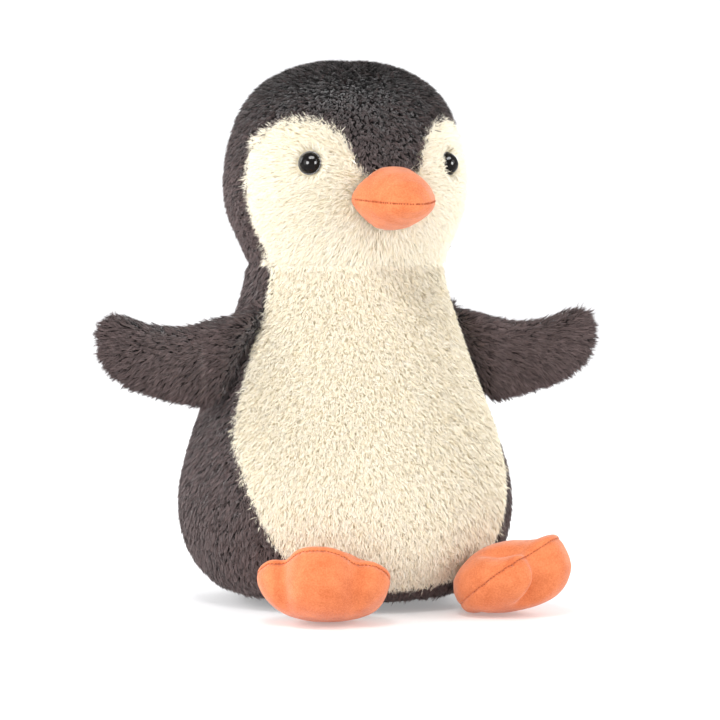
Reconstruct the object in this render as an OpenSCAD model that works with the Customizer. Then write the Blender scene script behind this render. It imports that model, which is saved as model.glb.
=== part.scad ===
// Sitting plush penguin: sewn panels, fillings, a bean pouch, safety eyes and threads.
// Millimetres. +Z is up, the penguin faces -Y and +X is the penguin's own left side.
// The origin is the centre of the flat base. Pile fabric is drawn to the tips of its pile.

/* [Body] */
// Height of the whole toy
total_h = 227.5; // [222:0.5:233]
// Height of the neck seam above the base
neck_z = 139.5; // [137:0.5:142]
// Radius at the neck seam
neck_r = 40.5; // [39:0.5:42]
// Largest radius of the body
body_r = 71; // [69:0.5:72]
// Radius of the flat part of the base
base_r = 40; // [36:1:44]
// Height of the seam round the base panel
base_seam_z = 6; // [5.5:0.5:7]

/* [Head] */
// Largest radius of the head
head_r = 51.8; // [51:0.1:53]
// Height of the middle of the head
head_z = 175; // [173:0.5:177]
// Furthest nod or backward bend of the head, in degrees
nod = 10; // [8:1:12]

/* [Fabric] */
// Thickness of the pile fabric, backing and pile
pile_t = 4; // [3:0.5:4.5]
// Thickness of the suede
suede_t = 1.6; // [1.2:0.1:2]
// Clearance between pieces that move on each other
gap = 0.4; // [0.3:0.1:0.5]

/* [Eyes] */
// Diameter of an eye
eye_d = 9.4; // [8:0.1:10.5]
// Turn of each eye away from straight ahead, in degrees
eye_turn = 39; // [36:0.5:41]
// Height of the eyes above the base
eye_z = 183.5; // [181:0.5:186]
// Diameter of the locking washer
washer_d = 13; // [11:0.5:14]

/* [Beak] */
// Width of the beak where it meets the face
beak_w = 34; // [31:0.5:36]
// Height of the beak where it meets the face
beak_h = 27; // [24:0.5:28]
// Distance of the beak's tip from the middle of the head
beak_tip = 74.5; // [72:0.5:76]
// Height of the mouth seam
beak_z = 169; // [168:0.5:170]

/* [Wings] */
// Distance from one wing tip to the other
wing_span = 225; // [220:1:228]
// Thickness of a wing at its middle
wing_t = 14; // [12:0.5:14]
// Sweep of the wings towards the back, in degrees
wing_sweep = 0; // [-2:1:3]

/* [Feet] */
// Width of a foot across its toes
foot_w = 61; // [57:0.5:62]
// Length of a foot from its hinge to the middle toe
foot_reach = 40; // [38:0.5:42]
// Thickness of a foot
foot_t = 18; // [17:0.5:19]
// Slope of a foot at rest, toes up, in degrees
foot_tilt = 36; // [34:1:38]
// Turn of the left foot outwards, in degrees
foot_turn_left = 48; // [44:1:50]
// Turn of the right foot outwards, in degrees
foot_turn_right = 30; // [28:1:34]

/* [Hidden] */
$fn = 64;

charcoal = "#4a4348";
cream = "#f2e6cc";
orange = "#f08a4b";
thread = "#b4531f";
fibre = "#f5f5f0";

far = 200; // reach of a cutting solid past the toy
curve_steps = 3; // straight pieces between two points of a profile or seam
dome_rings = 5; // rings of facets from the rim of a padded shape to its middle

// --- curves -------------------------------------------------------------------------------

// Point at t from 0 to 1 between b and c on the smooth curve through a, b, c and d
function curve_point(a, b, c, d, t) =
    0.5 * (2 * b + (c - a) * t + (2 * a - 5 * b + 4 * c - d) * t ^ 2
        + (3 * b - a - 3 * c + d) * t ^ 3);

// Smooth curve through the points p, from the first to the last
function open_curve(p) = [
    for (i = [0 : len(p) - 2], k = [0 : curve_steps - 1])
        curve_point(p[max(i - 1, 0)], p[i], p[i + 1], p[min(i + 2, len(p) - 1)],
            k / curve_steps),
    p[len(p) - 1]
];

// Smooth closed curve through the points p
function closed_curve(p) = [
    for (i = [0 : len(p) - 1], k = [0 : curve_steps - 1])
        curve_point(p[(i + len(p) - 1) % len(p)], p[i], p[(i + 1) % len(p)],
            p[(i + 2) % len(p)], k / curve_steps)
];

// Profile [radius, height] moved inwards by d along its own normals
function inset_profile(p, d) = [
    for (i = [0 : len(p) - 1])
        let (t = p[min(i + 1, len(p) - 1)] - p[max(i - 1, 0)])
            [max(0, p[i].x - d * t.y / norm(t)), p[i].y + d * t.x / norm(t)]
];

// Multiplies each point of p by the sizes in s and adds the offset o
function placed(p, s, o) = [for (q = p) [q.x * s.x + o.x, q.y * s.y + o.y]];

// --- body and head as turned shapes ----------------------------------------------------------

// Body from the edge of the base to the neck, as parts of body_r and neck_z
body_profile = open_curve(concat(
    [[base_r, 0]],
    placed([[0.745, 0.038], [0.88, 0.1], [0.965, 0.18], [1, 0.28], [0.983, 0.375],
        [0.913, 0.51], [0.824, 0.63], [0.728, 0.763], [0.642, 0.896]],
        [body_r, neck_z], [0, 0]),
    [[neck_r, neck_z]]));

// Head from the neck to the crown, as parts of head_r and of the height over the neck
head_profile = open_curve(concat(
    [[neck_r, neck_z]],
    placed([[0.878, 0.13], [0.962, 0.24], [1, 0.37], [0.988, 0.505], [0.915, 0.68],
        [0.772, 0.835], [0.52, 0.94], [0.25, 0.987], [0, 1]],
        [head_r, total_h - neck_z], [0, neck_z])));

// Solid body, smaller all round by d; when d is over 0 it runs on through the neck
module body_solid(d) {
    side = [for (p = inset_profile(body_profile, d)) [p.x, max(p.y, d)]];
    last = side[len(side) - 1];
    top = d > 0 ? neck_z + pile_t : neck_z;
    rotate_extrude() polygon(concat([[0, d]], side, [[last.x, top], [0, top]]));
}

// Solid head, smaller all round by d; when d is over 0 it runs on down through the neck
module head_solid(d) {
    side = inset_profile(head_profile, d);
    bottom = d > 0 ? neck_z - pile_t : neck_z;
    rotate_extrude() polygon(concat([[0, bottom], [side[0].x, bottom]], side));
}

// Radius of the outer surface of the head or body profile p at height z
function radius_at(p, z) = lookup(z, [for (q = p) [q.y, q.x]]);

// V-shaped room under the head, so that it can nod every way
module neck_room() {
    drop = far * tan(nod + 1);
    rotate_extrude()
        polygon([[0, neck_z - gap], [far, neck_z - gap - drop], [far, far], [0, far]]);
}

// --- seams ---------------------------------------------------------------------------------

// Front view of one side of the face seam, from the widow's peak round the cheek,
// as parts of head_r from the middle of the head
cheek_seam = placed(open_curve([[0, 0.02], [0.17, 0.05], [0.24, 0.15], [0.3, 0.3],
    [0.4, 0.43], [0.56, 0.495], [0.73, 0.455], [0.86, 0.32], [0.95, 0.11], [1.04, -0.12]]),
    [head_r, head_r], [0, head_z]);

// Side view of the tummy seam, [y, z], from the neck down and forwards to the base seam,
// as parts of body_r and neck_z
tummy_seam = placed(open_curve([[-0.165, 1.05], [-0.178, 0.9], [-0.214, 0.72],
    [-0.287, 0.53], [-0.43, 0.42], [-0.54, 0.33], [-0.61, 0.25], [-0.66, 0.18],
    [-0.72, 0.1], [-0.84, 0.043]]),
    [body_r, neck_z], [0, 0]);

// How far the side seam of the face lies in front of the middle
face_seam_y = 0.165 * body_r;

module face_room() {
    down = neck_z - head_z - far;
    left = [for (i = [len(cheek_seam) - 1 : -1 : 1]) [-cheek_seam[i].x, cheek_seam[i].y]];
    translate([0, -face_seam_y, 0]) rotate([90, 0, 0]) linear_extrude(far)
        polygon(concat(left, cheek_seam, [[far, head_z], [far, down], [-far, down],
            [-far, head_z]]));
}

module tummy_room() {
    last = tummy_seam[len(tummy_seam) - 1];
    rotate([90, 0, 90]) linear_extrude(2 * far, center = true)
        polygon(concat(tummy_seam, [[-far, last.y], [-far, far]]));
}

// Half of space on one side of the middle: side is 1 for left, -1 for right
module half(side) {
    translate([side * far / 2, 0, far / 2]) cube([far, 2 * far, 2 * far], center = true);
}

module head_shell() {
    difference() {
        head_solid(0);
        head_solid(pile_t);
    }
}

module body_shell() {
    difference() {
        body_solid(0);
        body_solid(pile_t);
        neck_room();
    }
}

// --- head -----------------------------------------------------------------------------------

// Moves its children to the eye on one side; +Z points out of the face, 0 on the pile tips
module at_eye(side) {
    r = radius_at(head_profile, eye_z);
    rotate([0, 0, side * eye_turn]) translate([0, -r, eye_z])
        rotate([90 - atan((eye_z - head_z) / head_r), 0, 0]) children();
}

eye_back = -3.4; // underside of the flange, down in the pile
eye_flange = 0.9; // thickness of the flange
eye_rise = 3.5; // height of the dome over its flange
shank_r = 1.7;
shank_l = 12;
bore_slack = 0.15;

module eye(side) {
    dome_r = ((eye_d / 2) ^ 2 + eye_rise ^ 2) / (2 * eye_rise);
    flange_top = eye_back + eye_flange;
    color("black") at_eye(side) {
        intersection() {
            translate([0, 0, flange_top + eye_rise - dome_r]) sphere(dome_r);
            translate([0, 0, flange_top]) cylinder(h = eye_rise + 1, r = eye_d / 2);
        }
        translate([0, 0, eye_back]) cylinder(h = eye_flange, r = eye_d / 2);
        translate([0, 0, eye_back - shank_l]) cylinder(h = shank_l, r = shank_r);
        for (i = [2 : 6])
            translate([0, 0, eye_back - i * shank_l / 6])
                cylinder(h = 1, r1 = shank_r, r2 = shank_r + 0.3);
    }
}

washer_t = 1.4;
washer_z = -pile_t - gap - washer_t;

module eye_washer(side) {
    color("white") at_eye(side) translate([0, 0, washer_z]) difference() {
        cylinder(h = washer_t, d = washer_d);
        translate([0, 0, -1]) cylinder(h = washer_t + 2, r = shank_r + 0.3 + bore_slack);
    }
}

// Room for the eyes, their shanks and washers
module eye_room() {
    for (side = [-1, 1]) at_eye(side) {
        translate([0, 0, eye_back]) cylinder(h = 20, r = eye_d / 2 + bore_slack);
        translate([0, 0, eye_back - shank_l - bore_slack])
            cylinder(h = shank_l + 1, r = shank_r + 0.3 + bore_slack);
        translate([0, 0, washer_z - bore_slack])
            cylinder(h = washer_t + 2 * bore_slack, r = washer_d / 2 + bore_slack);
    }
}

module hood(side) {
    color(charcoal) difference() {
        intersection() {
            head_shell();
            half(side);
        }
        face_room();
    }
}

module face_panel() {
    color(cream) difference() {
        intersection() {
            head_shell();
            face_room();
        }
        eye_room();
    }
}

neck_ball_r = 14;

// The filling ends below in a soft ball that the head nods on
module head_fill() {
    color(fibre) difference() {
        union() {
            intersection() {
                head_solid(pile_t);
                translate([0, 0, neck_z + far / 2]) cube([far, far, far], center = true);
            }
            translate([0, 0, neck_z]) sphere(neck_ball_r);
        }
        eye_room();
    }
}

// --- padded shapes: a closed outline that swells to a rounded face ---------------------------

// Ring factors from the rim, 1, to the middle, 0, with their height from 0 to 1
function swell(full) = [
    for (k = [0 : dome_rings]) let (a = 90 * k / dome_rings)
        [cos(a) ^ full, sin(a) ^ full]
];

// Outline drawn in towards its middle c by the distance d
function shrunk(outline, c, d) = [
    for (p = outline) c + (p - c) * (1 - d / norm(p - c))
];

// Points of a dome of height h over an outline, ring by ring, with the middle point last
function dome_points(outline, c, h, full) = [
    for (k = [0 : dome_rings - 1], p = outline) let (s = swell(full)[k])
        [c.x + (p.x - c.x) * s.x, c.y + (p.y - c.y) * s.x, h * s.y],
    [c.x, c.y, h]
];

// Faces of such a dome of n points a ring, for points that begin at first
function dome_faces(n, first, flip) = [
    for (k = [0 : dome_rings - 2], i = [0 : n - 1])
        let (a = first + k * n, b = a + n, j = (i + 1) % n)
            each flip
                ? [[a + i, a + j, b + i], [a + j, b + j, b + i]]
                : [[a + i, b + i, a + j], [a + j, b + i, b + j]],
    for (i = [0 : n - 1])
        let (a = first + (dome_rings - 1) * n, j = (i + 1) % n, top = a + n)
            flip ? [a + i, a + j, top] : [a + i, top, a + j]
];

// One sewn face of a padded shape: a dome of height h and wall thickness wall
module dome_shell(outline, c, h, wall, full) {
    n = len(outline);
    inner = n * dome_rings + 1;
    polyhedron(
        concat(dome_points(outline, c, h, full),
            dome_points(shrunk(outline, c, wall), c, h - wall, full)),
        concat(dome_faces(n, 0, false), dome_faces(n, inner, true), [
            for (i = [0 : n - 1]) let (j = (i + 1) % n)
                each [[i, j, inner + i], [j, inner + j, inner + i]]
        ]));
}

// The filling of a padded shape: a solid dome of height h on each side of the outline
module dome_fill(outline, c, h, full) {
    n = len(outline);
    for (flip = [0, 1]) mirror([0, 0, flip])
        polyhedron(dome_points(outline, c, h, full),
            concat(dome_faces(n, 0, false), [[for (i = [0 : n - 1]) i]]));
}

// --- beak -----------------------------------------------------------------------------------

beak_full = 1.1;
beak_sides = 32;
beak_base_y = 46; // plane of the beak's rim, just inside the face
beak_middle = [0, 0];
beak_outline = [
    for (i = [0 : beak_sides - 1]) let (a = 360 * i / beak_sides)
        [beak_w / 2 * cos(a), beak_h / 2 * sin(a)]
];
beak_l = beak_tip - beak_base_y;

module at_beak() {
    translate([0, -beak_base_y, beak_z]) rotate([90, 0, 0]) children();
}

// Half of the beak over (up = 1) or under (up = -1) the mouth seam
module beak_half(up) {
    color(orange) difference() {
        intersection() {
            at_beak() dome_shell(beak_outline, beak_middle, beak_l, suede_t, beak_full);
            translate([0, -far / 2, beak_z + up * far / 2])
                cube([far, far, far], center = true);
        }
        head_solid(0);
    }
}

module beak_fill() {
    color(fibre) difference() {
        at_beak() intersection() {
            dome_fill(shrunk(beak_outline, beak_middle, suede_t), beak_middle,
                beak_l - suede_t, beak_full);
            cylinder(h = far, r = beak_w);
        }
        head_solid(0);
    }
}

stitch_r = 0.4;
stitch_l = 1.3;
beak_stitch_count = 25;

// Threads side by side along the mouth seam, each across the seam
module beak_stitches() {
    color(thread) at_beak()
        for (i = [1 : beak_stitch_count]) {
            a = 12 + (180 - 24) * i / (beak_stitch_count + 1);
            x = beak_w / 2 * sign(cos(a)) * abs(cos(a)) ^ beak_full;
            y = beak_l * sin(a) ^ beak_full;
            translate([x, -stitch_l / 2, y] + (stitch_r + 0.1) * [cos(a), 0, sin(a)])
                rotate([-90, 0, 0]) cylinder(h = stitch_l, r = stitch_r, $fn = 16);
        }
}

// --- body -----------------------------------------------------------------------------------

// Turned bag shape of radius r and half height h about height z, smaller all round by d
module bag(r, h, z, d) {
    rotate_extrude() polygon([
        for (a = [-90 : 15 : 90])
            [(r - d) * cos(a) ^ 0.7, z + (h - d) * sign(a) * abs(sin(a)) ^ 0.7]
    ]);
}

pouch_r = 50;
pouch_half_h = 13;
pouch_z = pile_t + gap + pouch_half_h;
pouch_wall = 0.8;

module bean_pouch() {
    color("gainsboro") difference() {
        bag(pouch_r, pouch_half_h, pouch_z, 0);
        bag(pouch_r, pouch_half_h, pouch_z, pouch_wall);
    }
}

module beans() {
    color("lightgrey") bag(pouch_r, pouch_half_h, pouch_z, pouch_wall);
}

module body_fill() {
    color(fibre) difference() {
        intersection() {
            body_solid(pile_t);
            cylinder(h = neck_z, r = far);
        }
        neck_room();
        translate([0, 0, neck_z]) sphere(neck_ball_r + gap);
        bag(pouch_r, pouch_half_h, pouch_z, -gap / 4);
    }
}

module base_panel() {
    color(charcoal) intersection() {
        body_shell();
        cylinder(h = base_seam_z, r = far);
    }
}

module above_base_seam() {
    translate([0, 0, base_seam_z]) cylinder(h = far, r = far);
}

module tummy_panel() {
    color(cream) intersection() {
        body_shell();
        tummy_room();
        above_base_seam();
    }
}

module back(side) {
    color(charcoal) difference() {
        intersection() {
            body_shell();
            above_base_seam();
            half(side);
        }
        tummy_room();
    }
}

back_stitch_count = 12;
back_stitch_from = 0.3; // first and last stitch as parts of neck_z
back_stitch_to = 0.62;
back_stitch_l = 3.2;

// Hand-sewn threads across the closed filling gap in the middle of the back
module back_stitches() {
    color(charcoal)
        for (i = [0 : back_stitch_count - 1]) {
            share = i / (back_stitch_count - 1);
            z = neck_z * (back_stitch_from + (back_stitch_to - back_stitch_from) * share);
            translate([-back_stitch_l / 2, radius_at(body_profile, z) + stitch_r, z])
                rotate([0, 90, 0]) cylinder(h = back_stitch_l, r = stitch_r, $fn = 16);
        }
}

// --- wings ----------------------------------------------------------------------------------

wing_y = -9; // middle plane of the wing at its root
wing_full = 0.8;
wing_root_x = 54; // middle of the root seam
wing_root_z = 104.5;
wing_reach = wing_span / 2 - wing_root_x;

// Front view of the left wing from the middle of its root, as parts of wing_reach:
// up the root seam, out along the top edge, round the tip and back along the bottom
wing_outline = placed(closed_curve([[0.005, 0], [-0.115, 0.36], [0.09, 0.285],
    [0.26, 0.225], [0.45, 0.215], [0.66, 0.245], [0.86, 0.315], [0.965, 0.255], [1, 0.11],
    [0.94, -0.07], [0.78, -0.21], [0.55, -0.3], [0.33, -0.345], [0.12, -0.36]]),
    [wing_reach, wing_reach], [0, 0]);
wing_middle = [0.45 * wing_reach, -0.05 * wing_reach];

// Moves its children from the wing's own plane to the wing on one side; +Z points forwards
module at_wing(side) {
    mirror([side < 0 ? 1 : 0, 0, 0])
        translate([wing_root_x, wing_y, wing_root_z])
            rotate([90, 0, wing_sweep]) children();
}

// One face of a wing: front = 1 or back = -1
module wing_face(side, front) {
    color(charcoal) at_wing(side) mirror([0, 0, front < 0 ? 1 : 0])
        dome_shell(wing_outline, wing_middle, wing_t / 2, pile_t / 2, wing_full);
}

module wing_fill(side) {
    color(fibre) at_wing(side)
        dome_fill(shrunk(wing_outline, wing_middle, pile_t / 2), wing_middle,
            wing_t / 2 - pile_t / 2, wing_full);
}

// --- feet -----------------------------------------------------------------------------------

foot_full = 0.75;
foot_sink = 0.6; // how far the sole is pressed towards the ground
foot_place_r = 73.5; // distance of the hinge from the middle of the body
foot_place_turn = 27; // turn of the hinge's place away from straight ahead
foot_heel = 9; // from the hinge to the back of the heel
foot_square = 0.8; // 1 for an oval foot, less for squarer corners
foot_sides = 44;
toe_dip = 2; // how far a toe stitch pulls the edge in
toe_dip_at = 0.5; // place of the two stitches as part of half the width
toe_dip_w = 0.13;
foot_middle = [0.35 * foot_reach, 0];

// How far the edge is pulled in at v, from -1 to 1 across the toes
function toe_pull(v) = toe_dip * exp(-((abs(v) - toe_dip_at) / toe_dip_w) ^ 2);

// Edge of the foot seen from above at the angle a, heel at -x and toes at +x:
// wider at the toes, pulled in between them
function foot_edge(a) =
    let (c = sign(cos(a)) * abs(cos(a)) ^ foot_square,
        s = sign(sin(a)) * abs(sin(a)) ^ foot_square,
        half_l = (foot_reach + foot_heel) / 2)
        [half_l * c + (foot_reach - foot_heel) / 2 - (c > 0 ? toe_pull(s) : 0),
            foot_w / 2 * s * (0.86 + 0.14 * c)];

foot_outline = [for (i = [0 : foot_sides - 1]) foot_edge(360 * i / foot_sides)];

// Moves its children from the foot's own plane to the foot on one side; +Z is its top
module at_foot(side) {
    mirror([side < 0 ? 1 : 0, 0, 0])
        rotate([0, 0, foot_place_turn]) translate([0, -foot_place_r, foot_t / 2 - foot_sink])
            rotate([0, 0, (side > 0 ? foot_turn_left : foot_turn_right) - foot_place_turn - 90])
                rotate([0, -foot_tilt, 0]) children();
}

// One suede face of a foot: up = 1 for the top, -1 for the sole
module foot_face(side, up) {
    color(orange) at_foot(side) mirror([0, 0, up < 0 ? 1 : 0])
        dome_shell(foot_outline, foot_middle, foot_t / 2, suede_t, foot_full);
}

module foot_fill(side) {
    color(fibre) at_foot(side)
        dome_fill(shrunk(foot_outline, foot_middle, suede_t), foot_middle,
            foot_t / 2 - suede_t, foot_full);
}

toe_thread_l = 3;

// The two threads that pull the edge in between the toes
module foot_stitches(side) {
    color(thread) at_foot(side)
        for (v = [-1, 1]) {
            dip = foot_edge(v * asin(toe_dip_at ^ (1 / foot_square)));
            translate([dip.x + stitch_r, dip.y, -toe_thread_l / 2])
                cylinder(h = toe_thread_l, r = stitch_r, $fn = 16);
        }
}

// --- the pieces -----------------------------------------------------------------------------

hood(1);  // hood_left
hood(-1);  // hood_right
face_panel();
eye(1);  // eye_left
eye(-1);  // eye_right
eye_washer(1);  // eye_washer_left
eye_washer(-1);  // eye_washer_right
beak_half(1);  // beak_upper
beak_half(-1);  // beak_lower
beak_stitches();
beak_fill();
head_fill();
tummy_panel();
back(1);  // back_left
back(-1);  // back_right
base_panel();
back_stitches();
body_fill();
bean_pouch();
beans();
wing_face(1, 1);  // wing_left_front
wing_face(1, -1);  // wing_left_back
wing_fill(1);  // wing_left_fill
wing_face(-1, 1);  // wing_right_front
wing_face(-1, -1);  // wing_right_back
wing_fill(-1);  // wing_right_fill
foot_face(1, 1);  // foot_left_top
foot_face(1, -1);  // foot_left_sole
foot_stitches(1);  // foot_left_stitches
foot_fill(1);  // foot_left_fill
foot_face(-1, 1);  // foot_right_top
foot_face(-1, -1);  // foot_right_sole
foot_stitches(-1);  // foot_right_stitches
foot_fill(-1);  // foot_right_fill
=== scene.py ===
"""Plush penguin: pile fabric panels, suede beak and feet, safety eyes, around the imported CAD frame."""
import math

import bpy
import numpy as np
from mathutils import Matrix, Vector
from mathutils.bvhtree import BVHTree
from mathutils.kdtree import KDTree


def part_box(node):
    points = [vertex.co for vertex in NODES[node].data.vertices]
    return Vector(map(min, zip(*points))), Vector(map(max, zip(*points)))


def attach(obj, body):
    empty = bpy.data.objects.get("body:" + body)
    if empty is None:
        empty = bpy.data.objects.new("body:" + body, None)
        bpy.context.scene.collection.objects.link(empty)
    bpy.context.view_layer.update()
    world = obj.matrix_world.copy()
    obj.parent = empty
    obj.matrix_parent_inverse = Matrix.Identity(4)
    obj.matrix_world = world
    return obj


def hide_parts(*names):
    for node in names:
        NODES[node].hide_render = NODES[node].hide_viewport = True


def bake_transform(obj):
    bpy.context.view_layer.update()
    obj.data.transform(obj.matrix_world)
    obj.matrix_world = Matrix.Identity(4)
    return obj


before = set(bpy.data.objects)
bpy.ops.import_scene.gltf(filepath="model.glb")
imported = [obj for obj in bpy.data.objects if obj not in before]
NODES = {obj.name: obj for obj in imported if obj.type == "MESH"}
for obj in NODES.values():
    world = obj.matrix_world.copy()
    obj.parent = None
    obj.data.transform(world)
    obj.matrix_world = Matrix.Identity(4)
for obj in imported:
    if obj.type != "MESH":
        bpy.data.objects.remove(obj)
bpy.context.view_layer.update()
MM = 0.001
UP = np.array([0.0, 0.0, 1.0])

# ---------------------------------------------------------------- driving sizes, metres
NECK_Z = 139.5 * MM  # height of the head's hinge
NECK_R = 41.5 * MM
NECK_GAP = 7 * MM  # the CAD is open this far above and below the hinge
CREASE_Z = 142.5 * MM
PILE_INSET = 3.0 * MM  # the skin lies this far under the tips of the pile
WING_INSET = 2.4 * MM
TRUNK_DENSITY = 5.3e6  # tufts on a square metre
WING_DENSITY = 6.5e6

HOOD = ["hood_left", "hood_right"]
BACK = ["back_left", "back_right"]
HEAD_PANELS = HOOD + ["face_panel"]
BODY_PANELS = ["tummy_panel"] + BACK + ["base_panel"]
TRUNK = HEAD_PANELS + BODY_PANELS


# ---------------------------------------------------------------- mesh helpers
def arrays(mesh):
    """Vertices and triangles of a mesh as arrays."""
    co = np.empty(len(mesh.vertices) * 3)
    mesh.vertices.foreach_get("co", co)
    mesh.calc_loop_triangles()
    tri = np.empty(len(mesh.loop_triangles) * 3, dtype=np.int32)
    mesh.loop_triangles.foreach_get("vertices", tri)
    return co.reshape(-1, 3), tri.reshape(-1, 3)


def unit(v):
    """Rows of v at length one."""
    return v / np.maximum(np.linalg.norm(v, axis=-1, keepdims=True), 1e-12)


def smooth(x):
    """A soft step from 0 to 1."""
    x = np.clip(x, 0, 1)
    return x * x * (3 - 2 * x)


def make_object(name, verts, faces):
    """A smooth shaded mesh object from lists of points and faces."""
    mesh = bpy.data.meshes.new(name)
    mesh.from_pydata([tuple(v) for v in verts], [], [tuple(int(i) for i in f) for f in faces])
    mesh.validate()
    mesh.shade_smooth()
    obj = bpy.data.objects.new(name, mesh)
    bpy.context.scene.collection.objects.link(obj)
    return obj


def baked(obj):
    """Apply obj's modifiers to its mesh."""
    dg = bpy.context.evaluated_depsgraph_get()
    mesh = bpy.data.meshes.new_from_object(obj.evaluated_get(dg))
    obj.modifiers.clear()
    old = obj.data
    obj.data = mesh
    bpy.data.meshes.remove(old)
    return obj


def joined_nodes(names):
    """Points and triangles of several CAD nodes as one soup."""
    points, triangles, start = [], [], 0
    for name in names:
        co, tri = arrays(NODES[name].data)
        points.append(co)
        triangles.append(tri + start)
        start += len(co)
    return np.concatenate(points), np.concatenate(triangles)


def largest_island(obj):
    """Keep only the connected part with the largest box, the outer skin."""
    mesh = obj.data
    n = len(mesh.vertices)
    edges = np.empty(len(mesh.edges) * 2, dtype=np.int64)
    mesh.edges.foreach_get("vertices", edges)
    edges = edges.reshape(-1, 2)
    label = np.arange(n)
    while True:
        low = np.minimum(label[edges[:, 0]], label[edges[:, 1]])
        new = label.copy()
        np.minimum.at(new, edges[:, 0], low)
        np.minimum.at(new, edges[:, 1], low)
        new = new[new]
        if (new == label).all():
            break
        label = new
    co = arrays(mesh)[0]
    best, best_size = None, -1.0
    for one in np.unique(label):
        size = np.ptp(co[label == one], axis=0).sum()
        if size > best_size:
            best, best_size = one, size
    keep = label == best
    index = np.cumsum(keep) - 1
    faces = [[index[v] for v in p.vertices] for p in mesh.polygons if keep[p.vertices[0]]]
    fresh = make_object(obj.name, co[keep], faces)
    bpy.data.objects.remove(obj)
    return fresh


class Panels:
    """Tells which CAD node a point of the soft skin belongs to, by the nearest CAD surface."""

    def __init__(self, names):
        """One search tree for each panel's CAD surface."""
        self.names = names
        points, triangles, owner, start = [], [], [], 0
        self.trees = []
        for k, name in enumerate(names):
            co, tri = arrays(NODES[name].data)
            points.extend(map(tuple, co))
            triangles.extend(map(tuple, tri + start))
            owner.extend([k] * len(tri))
            start += len(co)
            self.trees.append(BVHTree.FromPolygons([tuple(c) for c in co], [tuple(t) for t in tri]))
        self.tree = BVHTree.FromPolygons(points, triangles)
        self.owner = owner

    def of(self, points):
        """Index of the nearest panel for each point."""
        find = self.tree.find_nearest
        owner = self.owner
        return np.array([owner[find(p)[2]] for p in points.tolist()], dtype=np.int32)


class TrunkPanels(Panels):
    """Panels of the head above the neck crease, and of the body under it."""

    def __init__(self):
        """Search trees for the whole trunk, the head and the body."""
        super().__init__(TRUNK)
        self.head = Panels(HEAD_PANELS)
        self.body = Panels(BODY_PANELS)

    def of(self, points):
        """Index of the nearest panel on the point's own side of the crease."""
        high = points[:, 2] > CREASE_Z
        out = np.zeros(len(points), dtype=np.int32)
        for part, mine in ((self.head, high), (self.body, ~high)):
            place = np.array([self.names.index(name) for name in part.names])
            out[mine] = place[part.of(points[mine])]
        return out


def vertex_normals(mesh):
    """Vertex normals of a mesh as an array."""
    out = np.empty(len(mesh.vertices) * 3)
    mesh.vertex_normals.foreach_get("vector", out)
    return out.reshape(-1, 3)


def set_points(mesh, co):
    """Write vertex places back to a mesh."""
    mesh.vertices.foreach_set("co", co.reshape(-1))
    mesh.update()


def relaxed(obj, rounds):
    """Even out a remeshed surface a little."""
    mod = obj.modifiers.new("relax", "SMOOTH")
    mod.factor = 0.5
    mod.iterations = rounds
    return baked(obj)


def face_centres(mesh):
    """Centres of a mesh's faces as an array."""
    out = np.empty(len(mesh.polygons) * 3)
    mesh.polygons.foreach_get("center", out)
    return out.reshape(-1, 3)


def border_vertices(mesh, owner):
    """For each vertex on a seam: its own panel and the other one."""
    panels_at = {}
    for poly in mesh.polygons:
        for v in poly.vertices:
            panels_at.setdefault(v, set()).add(int(owner[poly.index]))
    return {v: sorted(s) for v, s in panels_at.items() if len(s) > 1}


CLOTH_FRAMES = 16
CLOTH_STIFFNESS = 20


def puffed(obj, pins, pressure, cap):
    """Swell the skin between its seams with a cloth simulation, each point moving at most cap."""
    before = arrays(obj.data)[0]
    group = obj.vertex_groups.new(name="seams")
    group.add([int(i) for i in pins], 1.0, "REPLACE")
    cloth = obj.modifiers.new("cloth", "CLOTH")
    settings = cloth.settings
    settings.quality = 5
    settings.use_pressure = True
    settings.uniform_pressure_force = pressure
    settings.effector_weights.gravity = 0.0
    settings.vertex_group_mass = "seams"
    settings.tension_stiffness = CLOTH_STIFFNESS
    settings.compression_stiffness = CLOTH_STIFFNESS
    cloth.point_cache.frame_start = 1
    cloth.point_cache.frame_end = CLOTH_FRAMES
    for number in range(1, CLOTH_FRAMES + 1):
        bpy.context.scene.frame_set(number)
    obj = baked(obj)
    bpy.context.scene.frame_set(1)
    obj.vertex_groups.clear()
    after = arrays(obj.data)[0]
    move = after - before
    size = np.linalg.norm(move, axis=1, keepdims=True)
    move *= np.minimum(1.0, cap / np.maximum(size, 1e-9))
    set_points(obj.data, before + move)
    return obj


CONFORM_SHARE = 0.85


def conformed(obj, panels, rounds):
    """Take a remeshed skin back to the CAD surface, then even it out."""
    for _ in range(2):
        co = arrays(obj.data)[0]
        near = np.array([panels.tree.find_nearest(p)[0] for p in co.tolist()])
        set_points(obj.data, co + (near - co) * CONFORM_SHARE)
        obj = relaxed(obj, rounds)
    return obj


def groove_along(obj, seam_points, depth, width):
    """Pull the skin in along its seams."""
    tree = KDTree(len(seam_points))
    for i, p in enumerate(seam_points):
        tree.insert(p, i)
    tree.balance()
    co = arrays(obj.data)[0]
    away = np.array([tree.find(p)[2] for p in co])
    set_points(obj.data, co - vertex_normals(obj.data) * (depth * np.exp(-((away / width) ** 2)))[:, None])


def is_neck_seam(panels, own, other):
    """True where the seam joins the head to the body; it runs level."""
    return (panels.names[own] in HEAD_PANELS) != (panels.names[other] in HEAD_PANELS)


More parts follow.
